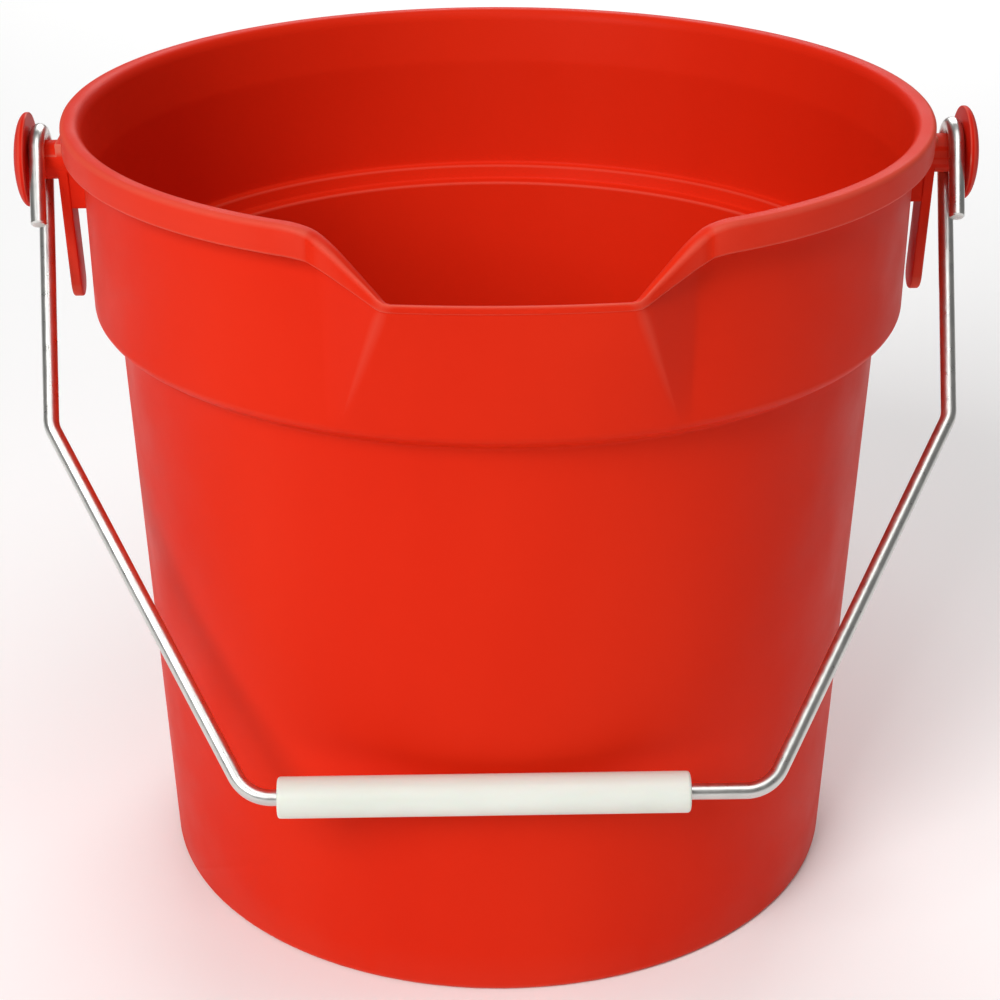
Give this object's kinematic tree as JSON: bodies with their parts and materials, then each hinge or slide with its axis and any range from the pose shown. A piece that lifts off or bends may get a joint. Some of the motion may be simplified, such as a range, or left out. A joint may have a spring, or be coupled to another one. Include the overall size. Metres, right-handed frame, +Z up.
{
  "type": "wash bucket",
  "caption": "Round plastic wash bucket with a pouring spout, a rolled rim and a swinging steel wire bail with a turning hand grip.",
  "frame": {"origin": "on the ground under the middle of the bucket's bounding box", "axes": "+Z up, spout towards -Y, bail pins along X, left side at -X"},
  "size_m": [0.2986, 0.2684, 0.2509],
  "materials": {
    "red_plastic": "moulded, soft sheen",
    "pin_plastic": "moulded, soft sheen",
    "white_plastic": "smooth extruded tube",
    "plated_steel": "zinc-plated round wire"
  },
  "bodies": {
    "bucket": {"bucket_body": "red_plastic", "bail_pin_left": "pin_plastic", "bail_pin_right": "pin_plastic"},
    "bail": {"bail_wire": "plated_steel"},
    "grip": {"hand_grip": "white_plastic"}
  },
  "joints": [
    {"name": "bail_swing", "type": "hinge", "parent": "bucket", "child": "bail", "pos_m": [0, 0, 0.234], "axis": [-1, 0, 0], "range_deg": [0, 283.5]},
    {"name": "grip_spin", "type": "hinge", "parent": "bail", "child": "grip", "pos_m": [-0.0073, -0.12204, 0.078], "axis": [1, 0, 0], "continuous": true}
  ]
}
